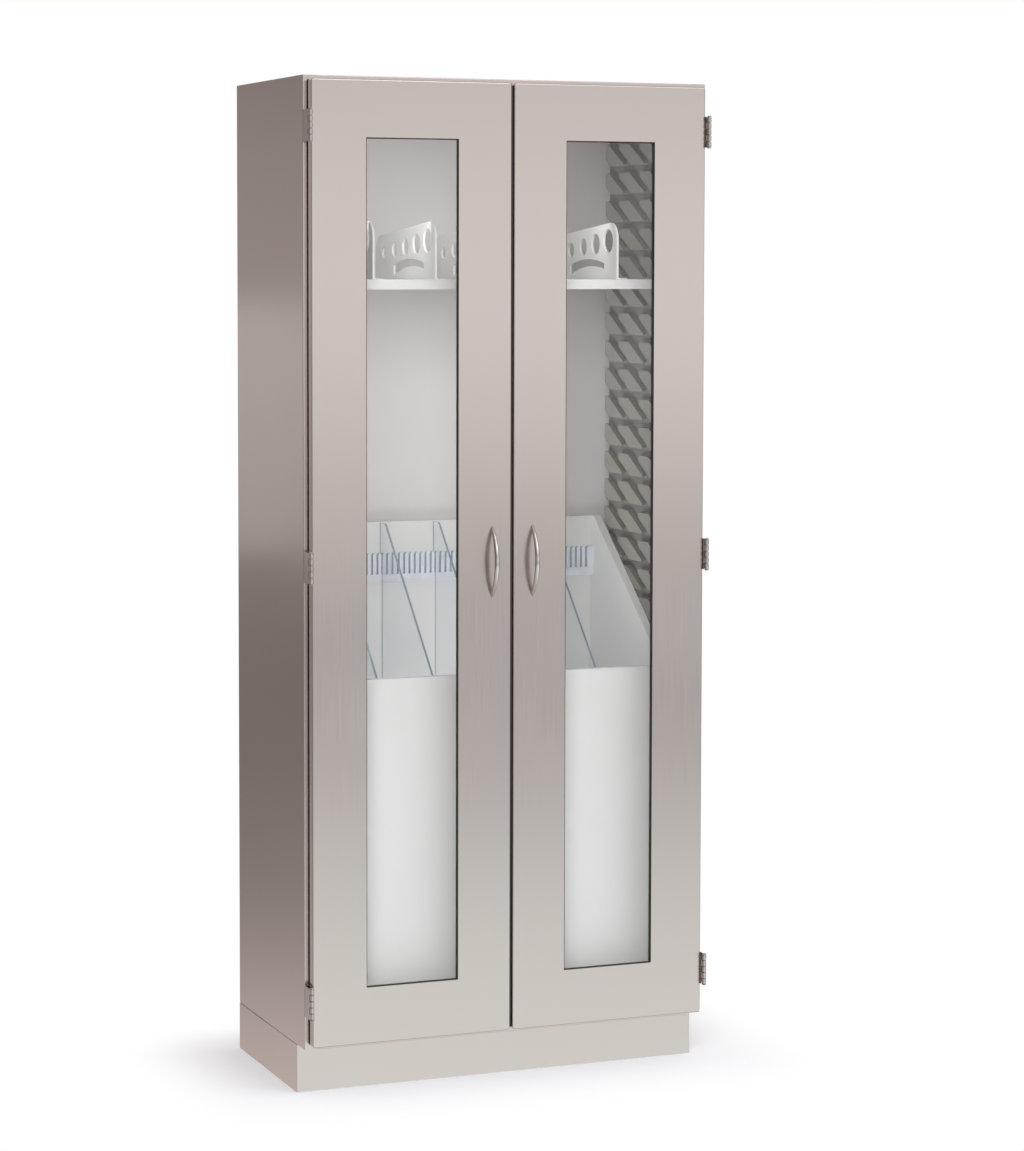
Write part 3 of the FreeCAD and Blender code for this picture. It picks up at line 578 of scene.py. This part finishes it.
def lugLoop(p, inset, x, topRear, rowTop):
    slope = p["run"] / p["height"]
    drawIn = inset * math.hypot(p["run"], p["height"]) / p["height"]
    high, low = rowTop - inset, rowTop - p["height"] + inset
    rearHigh = topRear - inset * slope - drawIn
    rearLow = rearHigh - (high - low) * slope
    length = p["length"] - 2 * drawIn
    corner = p["corner"]
    loop = roundedLoop([(rearHigh, high, max(p["nose"] - inset, corner)), (rearHigh - length, high, corner),
                        (rearLow - length, low, corner), (rearLow, low, corner)])
    return [(x, y, z) for y, z in loop]


def lugSolid(p, low, high, topRear, rowTop):
    # one lug of the right wall, cut off where the panel ends
    wall = low.x + p["proud"]
    loops = [lugLoop(p, -p["flare"], wall + p["sunk"], topRear, rowTop),
             lugLoop(p, -p["flare"], wall, topRear, rowTop),
             lugLoop(p, -p["flare"] * 0.3, wall - p["flare"] * 0.4, topRear, rowTop),
             lugLoop(p, 0, wall - p["flare"], topRear, rowTop)]
    for k in range(p["edgeSteps"] + 1):
        turn = math.pi / 2 * k / p["edgeSteps"]
        x = low.x + p["edge"] * (1 - math.sin(turn))
        loops.append(lugLoop(p, p["edge"] * (1 - math.cos(turn)), x, topRear, rowTop))
    bm = bmesh.new()
    bridgeLoops(bm, loops)
    for place, outward in ((low, (0, -1, 0)), (high, (0, 1, 0))):
        everything = bm.verts[:] + bm.edges[:] + bm.faces[:]
        bmesh.ops.bisect_plane(bm, geom=everything, plane_co=place, plane_no=outward, clear_outer=True)
        bmesh.ops.holes_fill(bm, edges=[e for e in bm.edges if e.is_boundary])
    return meshFrom(bm, "lug")


def lugWall(p, part, material):
    low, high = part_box("right_lug_panel_" + part)
    firstRow, count = p["rows"][part]
    rowTop = p["firstRow"] + firstRow * p["rowPitch"]
    columns = int((high.y + p["overhang"] - low.y) / p["pitch"])
    plateLow = (low.x + p["proud"], low.y, low.z)
    walls = [sheetBox("plate", plateLow, high, p["plateEdge"])]
    for i in range(columns):
        lug = lugSolid(p, low, high, high.y + p["overhang"] - i * p["pitch"], rowTop)
        walls.append(repeated(lug, material, (count, (0, 0, p["rowPitch"]))))
    # the plate between the lugs takes the second slot, the plastic with painted shade
    for i, mesh in enumerate(walls):
        for face in mesh.polygons:
            face.material_index = int(i == 0)
    return joinMeshes("lugWall", walls)


lugWalls = []
for part in ("upper", "lower"):
    wall = lugWall(lugPanel, part, greyPlastic)
    for side, turn in sides:
        # the second material is the lug wall's painted shade
        piece = settle(side + part.capitalize() + "LugWall", turn(wall), [greyPlastic, lugWallPaintedShade],
                       "cabinet", "grey_moulded_plastic", side + "_lug_panel_" + part)
        lugWalls.append(piece)

# Light thrown up at the lug walls from below and behind, which leaves the lugs' front sides dark
lugBounce = {"place": (1.8, 0.8, -1.2), "aim": (-0.43, 0.05, 1.5), "size": (0.5, 0.5), "power": 125}


def lightLugs(b):
    group = bpy.data.collections.new("lugWalls")
    for piece in lugWalls:
        group.objects.link(piece)
    for name, turn in (("leftLugBounce", 1), ("rightLugBounce", -1)):
        place, aim = ((turn * x, y, z) for x, y, z in (b["place"], b["aim"]))
        box = softBox(name, place, aim, b["size"], b["power"], False)
        box.light_linking.receiver_collection = group
        box.light_linking.blocker_collection = group


lightLugs(lugBounce)

# The walls' fixing screws, in groups of (top row, count)
panelScrew = {"radius": 0.0034, "height": 0.0018, "railInset": 0.007, "everyRows": 3,
              "groups": ((28, 4), (17, 6))}


def panelScrews(s, p):
    low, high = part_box("right_lug_panel_lower")
    head = moved(crossHead("panelScrew", s["radius"], s["height"]), (0, 0, 0), (0, 0, 1), (0, 1, 0))
    across = high.y - low.y - 2 * s["railInset"]
    groove = p["rowPitch"] - p["height"]
    drop = -s["everyRows"] * p["rowPitch"]
    runs = []
    for row, count in s["groups"]:
        z = p["firstRow"] + row * p["rowPitch"] + groove / 2
        first = moved(head, (low.x + p["proud"], low.y + s["railInset"], z))
        runs.append(repeated(first, zincSteel, (2, (0, across, 0)), (count, (0, 0, drop))))
    return joinMeshes("panelScrews", runs)


right = panelScrews(panelScrew, lugPanel)
settle("lugWallScrews", joinMeshes("lugWallScrews", [right, mirrored(right)]), [zincSteel], "cabinet",
       "zinc_screw_steel", "lug_panel_screws")
print("lug walls made")

# Shelf dividers: white plates with a row of holes and an arched hand slot
shelfDivider = {"sheet": 0.005, "edge": 0.0009, "frontHeight": 0.1255, "rearHeight": 0.092,
                "frontRound": 0.035, "rearRound": 0.018, "roundSteps": 10,
                "holes": (0.0508, 0.0445, 0.0381, 0.0318, 0.0254), "holeMargin": 0.0465, "holeDrop": 0.039,
                "slotMargin": 0.067, "slotLength": 0.188, "slotFront": (0.021, 0.034),
                "slotMiddle": (0.027, 0.043), "slotRear": (0.007, 0.029), "slotSteps": 20,
                "footSheet": 0.002, "footEdge": 0.0007, "footRound": 0.003, "footRoundSteps": 3,
                "footRoundSunk": 0.00075}


def archLoop(d):
    # a lower and an upper curve, each through its heights at the front, the middle and the rear
    half = d["slotLength"] / 2
    arcs = []
    for level in (0, 1):
        front, middle, rear = (d[key][level] for key in ("slotFront", "slotMiddle", "slotRear"))
        arc = []
        for k in range(d["slotSteps"] + 1):
            t = 2 * k / d["slotSteps"] - 1
            rise = middle + (rear - front) / 2 * t + ((front + rear) / 2 - middle) * t * t
            arc.append(Vector((d["slotMargin"] + half + t * half, rise)))
        arcs.append(arc)
    return arcs[0] + arcs[1][::-1]


def footWeb(d, low, high):
    # the hollow round where the plate meets its foot
    r, sunk = d["footRound"], d["footRoundSunk"]
    corner = Vector((low.x + d["sheet"], low.z + d["footSheet"]))
    turns = [math.pi / 2 * k / d["footRoundSteps"] for k in range(d["footRoundSteps"] + 1)]
    hollow = [corner + Vector((r - r * math.sin(a), r - r * math.cos(a))) for a in turns]
    loop = [corner - Vector((sunk, sunk)), corner + Vector((r, -sunk))] + hollow
    loop.append(corner + Vector((-sunk, r)))
    bm = bmesh.new()
    bridgeLoops(bm, [[(x, y, z) for x, z in loop] for y in (low.y + d["edge"], high.y - d["edge"])])
    return meshFrom(bm, "web")


def shelfDividerMesh(d, low, high):
    depth = high.y - low.y
    outline = roundedLoop([(0, 0, 0), (depth, 0, 0), (depth, d["rearHeight"], d["rearRound"]),
                           (0, d["frontHeight"], d["frontRound"])], d["roundSteps"])
    step = (depth - 2 * d["holeMargin"]) / (len(d["holes"]) - 1)
    fall = (d["frontHeight"] - d["rearHeight"]) / depth
    holes = [archLoop(d)]
    for i, size in enumerate(d["holes"]):
        along = d["holeMargin"] + i * step
        holes.append(circleLoop(along, d["frontHeight"] - fall * along - d["holeDrop"], size / 2))
    plate = flatPlate("plate", outline, holes, d["sheet"], d["edge"])
    footLow = (low.x + d["sheet"] / 2, low.y, low.z)
    plate = moved(plate, footLow, (0, 1, 0), (0, 0, 1))
    foot = sheetBox("foot", footLow, (high.x, high.y, low.z + d["footSheet"]), d["footEdge"])
    return joinMeshes("shelfDivider", [plate, foot, footWeb(d, low, high)])


for i in range(1, 6):
    node = "shelf_divider_%d" % i
    settle("shelfDivider%d" % i, shelfDividerMesh(shelfDivider, *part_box(node)), [whitePlastic], "cabinet",
           "white_moulded_plastic", node)
print("shelf dividers made")

# Tub: white boards with eased edges, two combs and five clear dividers
tub = {"edge": 0.0013, "flatTop": 0.028}


def tubSide(t):
    low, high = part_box("tub_right_wall")
    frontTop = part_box("tub_front_wall")[1].z
    outline = [Vector(p) for p in ((low.y, low.z), (high.y, low.z), (high.y, high.z),
                                   (high.y - t["flatTop"], high.z), (low.y, frontTop))]
    board = flatPlate("tubSide", outline, [], high.x - low.x, t["edge"])
    return moved(board, ((low.x + high.x) / 2, 0, 0), (0, 1, 0), (0, 0, 1))


for side, turn in sides:
    settle(side + "TubSide", turn(tubSide(tub)), [tubBoard], "cabinet", "white_tub_board",
           "tub_%s_wall" % side)
for name in ("front_wall", "back_wall", "floor"):
    board = sheetBox(name, *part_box("tub_" + name), tub["edge"])
    settle("tubBoard_" + name, board, [tubBoard], "cabinet", "white_tub_board", "tub_" + name)

comb = {"pitch": 0.0127, "slot": 0.0054, "slotDepth": 0.047, "mouthSide": 0.0016, "mouthDepth": 0.004,
        "endMargin": 0.006, "toothRound": 0.0014, "toothSteps": 3, "edge": 0.0005, "cutTilt": 0.5}


def combMesh(c, low, high):
    count = int((high.x - c["endMargin"]) / c["pitch"])
    outline = [(high.x, low.z, 0), (low.x, low.z, 0), (low.x, high.z, 0)]
    for i in range(-count, count):
        middle = (i + 0.5) * c["pitch"]
        half, wide = c["slot"] / 2, c["slot"] / 2 + c["mouthSide"]
        outline += [(middle - wide, high.z, c["toothRound"]), (middle - half, high.z - c["mouthDepth"], 0),
                    (middle - half, high.z - c["slotDepth"], 0), (middle + half, high.z - c["slotDepth"], 0),
                    (middle + half, high.z - c["mouthDepth"], 0), (middle + wide, high.z, c["toothRound"])]
    outline.append((high.x, high.z, 0))
    strip = flatPlate("comb", roundedLoop(outline, c["toothSteps"]), [], high.y - low.y, c["edge"])
    for face in strip.polygons:
        face.material_index = int(abs(face.normal.z) < c["cutTilt"])
    return moved(strip, (0, (low.y + high.y) / 2, 0), (1, 0, 0), (0, 0, 1))


for end in ("rear", "front"):
    node = "tub_%s_comb" % end
    strip = settle(end + "Comb", combMesh(comb, *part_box(node)), [combPlastic, acrylicEdge], "cabinet",
                   "clear_acrylic", node)
    strip.visible_shadow = False

clearDivider = {"play": 0.0003, "flatTop": 0.032, "flatFront": 0.035, "frontDrop": 0.005, "edge": 0.0005,
                "cutTilt": 0.9}


def clearDividerMesh(d, c, low, high):
    rearComb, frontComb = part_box("tub_rear_comb"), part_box("tub_front_comb")
    rearStep, frontStep = rearComb[0].y - d["play"], frontComb[1].y + d["play"]
    rearHook, frontHook = (b[1].z - c["slotDepth"] + d["play"] for b in (rearComb, frontComb))
    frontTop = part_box("tub_front_wall")[1].z - d["frontDrop"]
    outline = [(rearStep, low.z), (rearStep, rearHook), (high.y, rearHook), (high.y, high.z),
               (high.y - d["flatTop"], high.z), (low.y + d["flatFront"], frontTop), (low.y, frontTop),
               (low.y, frontHook), (frontStep, frontHook), (frontStep, low.z)]
    plate = flatPlate("clearDivider", [Vector(p) for p in outline], [], high.x - low.x, d["edge"])
    plate = moved(plate, ((low.x + high.x) / 2, 0, 0), (0, 1, 0), (0, 0, 1))
    for face in plate.polygons:
        face.material_index = int(abs(face.normal.x) < d["cutTilt"])
    return plate


for i in range(1, 6):
    node = "tub_divider_%d" % i
    sheet = settle("clearDivider%d" % i, clearDividerMesh(clearDivider, comb, *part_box(node)),
                   [clearAcrylic, acrylicEdge], node, "clear_acrylic", node)
    sheet.visible_shadow = False
print("tub made")

# Window gaskets: a black rubber frame with a round lip, a lip on the glass and a groove that holds it
gasket = {"hold": 0.008, "lip": 0.001, "skin": 0.0012, "proud": 0.0005, "overlap": 0.0003, "wiper": 0.0012,
          "play": 0.0003, "bite": 0.005, "backing": 0.002, "backOutset": 0.005}


def gasketMesh(g):
    low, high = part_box("right_window_gasket")
    glassFront, glassBack = (corner.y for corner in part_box("right_window_glass"))
    left, right, sill, head = (low.x + g["hold"], high.x - g["hold"], low.z + g["hold"], high.z - g["hold"])
    groove, grooveFront, grooveBack = g["bite"] + g["play"], glassFront - g["play"], glassBack + g["play"]
    inner, lipBack, rear = -g["lip"], glassBack + g["backing"], high.y
    # (distance outside the opening, y) round the section
    profile = [(g["overlap"], doorFront), (g["overlap"] * 0.8, doorFront - g["proud"] * 0.7),
               (-g["lip"] * 0.3, doorFront - g["proud"]), (-g["lip"] * 0.85, doorFront - g["proud"] * 0.5),
               (inner, doorFront + g["skin"] * 0.5), (inner, glassFront - g["wiper"]),
               (inner - g["wiper"], grooveFront), (inner, grooveFront), (groove, grooveFront),
               (groove, grooveBack), (inner, grooveBack), (inner, lipBack), (g["backOutset"], lipBack),
               (g["backOutset"], rear), (g["hold"], rear), (g["hold"], doorFront + g["skin"]),
               (0, doorFront + g["skin"]), (0, doorFront)]
    loops = [[(left - o, y, sill - o), (right + o, y, sill - o), (right + o, y, head + o),
              (left - o, y, head + o)] for o, y in profile]
    bm = bmesh.new()
    bridgeLoops(bm, loops + loops[:1], False)
    return meshFrom(bm, "gasket")


for side, turn in sides:
    settle(side + "WindowGasket", turn(gasketMesh(gasket)), [blackRubber], side + "_door", "black_rubber",
           side + "_window_gasket")
print("gaskets made")

# Hinges: five knuckles, folded leaves and a pin with domed tips
hinge = {"height": 0.066, "knuckles": 5, "gap": 0.0012, "clearance": 0.0006, "radius": 0.00475,
         "pin": 0.0025, "play": 0.00005, "ease": 0.0009, "leaf": 0.0015, "width": 0.027, "leafEdge": 0.0003,
         "leafCorner": 0.003, "tip": 0.0022, "screwSpacing": 0.022, "screwCount": 3, "screwRadius": 0.0034,
         "screwHeight": 0.0009, "screwProud": 0.0002,
         "dome": ((0.0, 1.0), (0.5, 0.93), (0.82, 0.66), (0.97, 0.28), (1.0, 0.0))}
axisX, axisY = next(j["pos_m"][:2] for j in frame["joints"] if j["name"] == "right_door_swing")
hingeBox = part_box("right_hinge_cabinet_leaves")
hingeLow = hingeBox[0].z
hingeStep = (hingeBox[1].z - hingeLow - hinge["height"]) / 2
hingeRun = (3, (0, 0, hingeStep))


def hingeLeaf(h, firstKnuckle, strip, fold, flange):
    # one leaf of the lowest right hinge: knuckles, a notched strip and the flange it is screwed by
    length = h["height"] / h["knuckles"]
    top = length - h["gap"]
    ease, radius, bore = h["ease"], h["radius"], h["pin"] + h["play"]
    barrel = turned("knuckle", [(bore, 0), (radius - ease, 0), (radius, ease), (radius, top - ease),
                                (radius - ease, top), (bore, top), (bore, 0)])
    owned = range(firstKnuckle, h["knuckles"], 2)
    start = hingeLow + firstKnuckle * length + h["gap"] / 2
    knuckles = repeated(moved(barrel, (axisX, axisY, start)), hingeSteel, (len(owned), (0, 0, 2 * length)))
    notch = axisY + radius + h["clearance"]
    hingeTop = hingeLow + h["height"]
    outline = []
    for i in owned:
        z = hingeLow + i * length + h["gap"] / 2
        outline += [(notch, z), (axisY, z), (axisY, z + top), (notch, z + top)]
    if firstKnuckle:
        outline = [(notch, hingeLow)] + outline + [(notch, hingeTop)]
    else:
        outline = outline[1:-1]
    outline = [(fold, outline[0][1])] + outline + [(fold, outline[-1][1])]
    plate = flatPlate("strip", [Vector(p) for p in outline], [], h["leaf"], h["leafEdge"])
    plate = moved(plate, (sum(strip) / 2, 0, 0), (0, 1, 0), (0, 0, 1))
    corner = h["leafCorner"]
    inner, outer = strip[1] - h["width"], strip[1]
    face = roundedLoop([(inner, hingeLow, corner), (outer, hingeLow, 0), (outer, hingeTop, 0),
                        (inner, hingeTop, corner)])
    wing = moved(flatPlate("wing", face, [], h["leaf"], h["leafEdge"]), (0, flange, 0), (1, 0, 0), (0, 0, 1))
    return repeated(joinMeshes("leaf", [knuckles, plate, wing]), hingeSteel, hingeRun)


def leafScrews(h, x, y, across):
    head = crossHead("leafScrew", h["screwRadius"], h["screwHeight"])
    z = hingeLow + h["height"] / 2 - (h["screwCount"] - 1) / 2 * h["screwSpacing"]
    first = moved(head, (x, y, z), (across, 0, 0), (0, 0, 1))
    return repeated(first, zincSteel, (h["screwCount"], (0, 0, h["screwSpacing"])), hingeRun)


def hingePins(h):
    tip, radius, top = h["tip"], h["radius"], h["height"]
    profile = [(radius * r, -tip * d) for r, d in h["dome"]] + [(h["pin"], 0), (h["pin"], top)]
    profile += [(radius * r, top + tip * d) for r, d in h["dome"][::-1]]
    pin = moved(turned("pin", profile), (axisX, axisY, hingeLow))
    return repeated(pin, hingeSteel, hingeRun)


cabinetStrip = (hingeBox[1].x - hinge["leaf"], hingeBox[1].x)
doorStripInner = axisX - hinge["radius"]
doorStrip = (doorStripInner, doorStripInner + hinge["leaf"])
cabinetLeaves = hingeLeaf(hinge, 0, cabinetStrip, bodyFront, bodyFront - hinge["leaf"] / 2)
doorLeaves = hingeLeaf(hinge, 1, doorStrip, doorBack + hinge["leaf"], doorBack + hinge["leaf"] / 2)
pins = hingePins(hinge)
screwInset = hinge["width"] / 2 + hinge["leaf"]
sunk = hinge["screwHeight"] - hinge["screwProud"]
cabinetScrews = leafScrews(hinge, cabinetStrip[1] - screwInset, bodyFront - hinge["leaf"] + sunk, 1)
doorScrews = leafScrews(hinge, doorStrip[1] - screwInset, doorBack + hinge["leaf"] - sunk, -1)
for side, turn in sides:
    settle(side + "CabinetHingeLeaves", turn(cabinetLeaves), [hingeSteel], "cabinet", "hinge_steel",
           side + "_hinge_cabinet_leaves")
    settle(side + "HingePins", turn(pins), [hingeSteel], "cabinet", "hinge_steel", side + "_hinge_pins")
    settle(side + "DoorHingeLeaves", turn(doorLeaves), [hingeSteel], side + "_door", "hinge_steel",
           side + "_hinge_door_leaves")
    settle(side + "DoorHingeScrews", turn(doorScrews), [zincSteel], side + "_door", "zinc_screw_steel",
           side + "_hinge_door_screws")
settle("cabinetHingeScrews", joinMeshes("cabinetHingeScrews", [cabinetScrews, mirrored(cabinetScrews)]),
       [zincSteel], "cabinet", "zinc_screw_steel", "hinge_cabinet_screws")
print("hinges made")

# Small fittings: handle screws, catches, strikes and bumpers
fittings = {"handleScrewRadius": 0.004, "handleScrewHeight": 0.0022, "catchEdge": 0.0012,
            "poleSheet": 0.0016, "poleInset": 0.003, "poleProud": 0.0002, "poleEdge": 0.0002,
            "strikeCorner": 0.002, "strikeEdge": 0.0003, "strikeScrew": 0.0026, "strikeScrewHeight": 0.0007,
            "strikeScrewSunk": 0.00056,
            "bumperDome": ((1.0, 0.0), (1.0, 0.45), (0.93, 0.7), (0.75, 0.88), (0.45, 0.97), (0.0, 1.0))}


def handleScrewHeads(f):
    low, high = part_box("right_handle_screws")
    radius = f["handleScrewRadius"]
    head = crossHead("handleScrew", radius, f["handleScrewHeight"])
    first = moved(head, ((low.x + high.x) / 2, doorBack, low.z + radius), (-1, 0, 0), (0, 0, 1))
    return repeated(first, zincSteel, (2, (0, 0, high.z - low.z - 2 * radius)))


def catchBody(f):
    # a moulded case with two steel poles along its front
    low, high = (Vector(corner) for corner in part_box("magnetic_catches"))
    inner = min(v.co.x for v in nodes["magnetic_catches"].data.vertices if v.co.x > 0)
    front = low.y + f["poleProud"]
    case = sheetBox("case", (inner, front, low.z), high, f["catchEdge"])
    poles = []
    for z in (low.z + f["poleInset"], high.z - f["poleInset"] - f["poleSheet"]):
        poleLow = (inner + f["poleInset"], low.y, z)
        poleHigh = (high.x - f["poleInset"], high.y - f["poleInset"], z + f["poleSheet"])
        poles.append(sheetBox("pole", poleLow, poleHigh, f["poleEdge"]))
    for mesh, index in [(case, 0)] + [(pole, 1) for pole in poles]:
        for face in mesh.polygons:
            face.material_index = index
    return joinMeshes("catch", [case] + poles)


def strikePlate(f):
    low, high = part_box("right_catch_strike")
    r = f["strikeCorner"]
    loop = roundedLoop([(low.x, low.z, r), (high.x, low.z, r), (high.x, high.z, r), (low.x, high.z, r)])
    plate = flatPlate("strike", loop, [], high.y - low.y, f["strikeEdge"])
    plate = moved(plate, (0, (low.y + high.y) / 2, 0), (1, 0, 0), (0, 0, 1))
    head = crossHead("strikeScrew", f["strikeScrew"], f["strikeScrewHeight"])
    middle = ((low.x + high.x) / 2, high.y - f["strikeScrewSunk"], (low.z + high.z) / 2)
    return joinMeshes("strike", [plate, moved(head, middle, (-1, 0, 0), (0, 0, 1))])


def bumperMesh(f):
    low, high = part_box("door_bumpers")
    radius = (high.z - low.z) / 2
    height = high.y - low.y
    inner = min(round(v.co.x, 4) for v in nodes["door_bumpers"].data.vertices if v.co.x > 0) + radius
    dome = [(radius * share, height * rise) for share, rise in f["bumperDome"]]
    button = turned("bumper", [(0, 0)] + dome)
    button = moved(button, (inner, bodyFront, (low.z + high.z) / 2), (1, 0, 0), (0, 0, 1))
    return repeated(button, blackRubber, (2, (high.x - radius - inner, 0, 0)))


catches = catchBody(fittings)
settle("magneticCatches", joinMeshes("catches", [catches, mirrored(catches)]), [catchPlastic, zincSteel],
       "cabinet", "catch_plastic", "magnetic_catches")
bumpers = bumperMesh(fittings)
settle("doorBumpers", joinMeshes("bumpers", [bumpers, mirrored(bumpers)]), [blackRubber], "cabinet",
       "black_rubber", "door_bumpers")
for side, turn in sides:
    settle(side + "HandleScrews", turn(handleScrewHeads(fittings)), [zincSteel], side + "_door",
           "zinc_screw_steel", side + "_handle_screws")
    settle(side + "CatchStrike", turn(strikePlate(fittings)), [zincSteel], side + "_door", "zinc_screw_steel",
           side + "_catch_strike")
print("fittings made")
